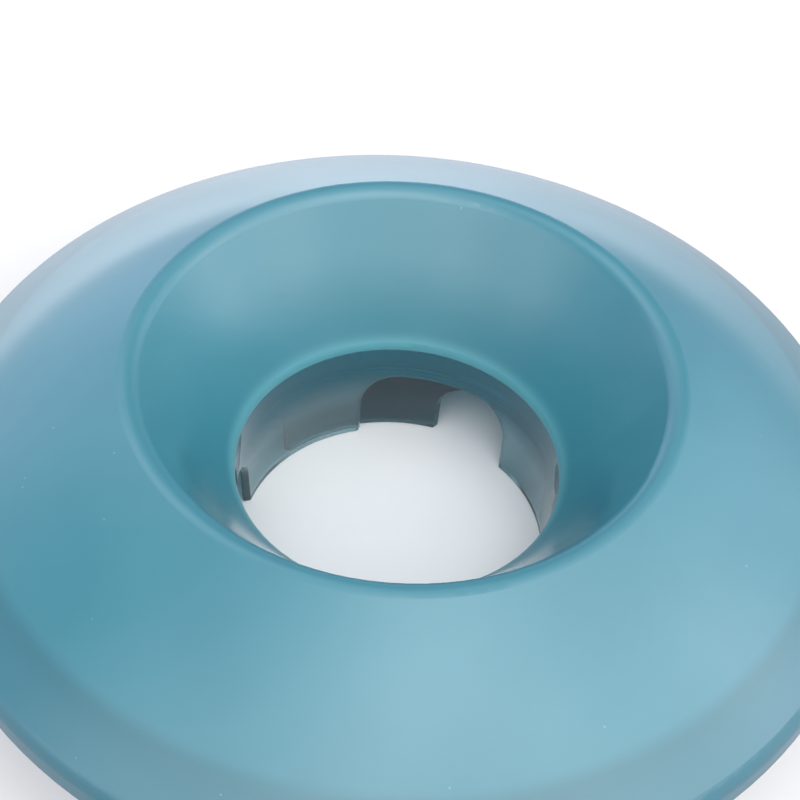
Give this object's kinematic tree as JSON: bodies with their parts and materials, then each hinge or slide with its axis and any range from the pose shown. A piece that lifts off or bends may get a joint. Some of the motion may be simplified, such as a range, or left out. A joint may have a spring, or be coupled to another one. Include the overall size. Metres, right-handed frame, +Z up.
{
  "type": "slow feeder bowl",
  "caption": "Rocking slow feeder bowl: a translucent dome and funnel over a round food tray, with an arched gate ring that turns to meter kibble into the central well.",
  "frame": {"origin": "on the ground under the bowl's axis, in the plane of the foot's flat face", "axes": "+Z up along the bowl's axis, -Y the side the bowl is looked at from, +X to that viewer's right"},
  "size_m": [0.23, 0.23, 0.0726],
  "materials": {
    "translucent_blue": "frosted translucent, polished on the collar and funnel",
    "translucent_blue_gate": "translucent, smooth",
    "white_plastic": "satin white",
    "foot_rubber": "matte, slightly grained"
  },
  "bodies": {
    "tray": {"food_tray": "white_plastic", "rocker_foot": "foot_rubber"},
    "top": {"top_shell": "translucent_blue"},
    "gate": {"gate_ring": "translucent_blue_gate"}
  },
  "joints": [
    {"name": "top_lift", "type": "slide", "parent": "tray", "child": "top", "axis": [0, 0, 1], "range_m": [0, 0.08]},
    {"name": "gate_turn", "type": "hinge", "parent": "top", "child": "gate", "pos_m": [0, 0, 0.025], "axis": [0, 0, 1], "range_deg": [-30.5, 29.5]}
  ]
}
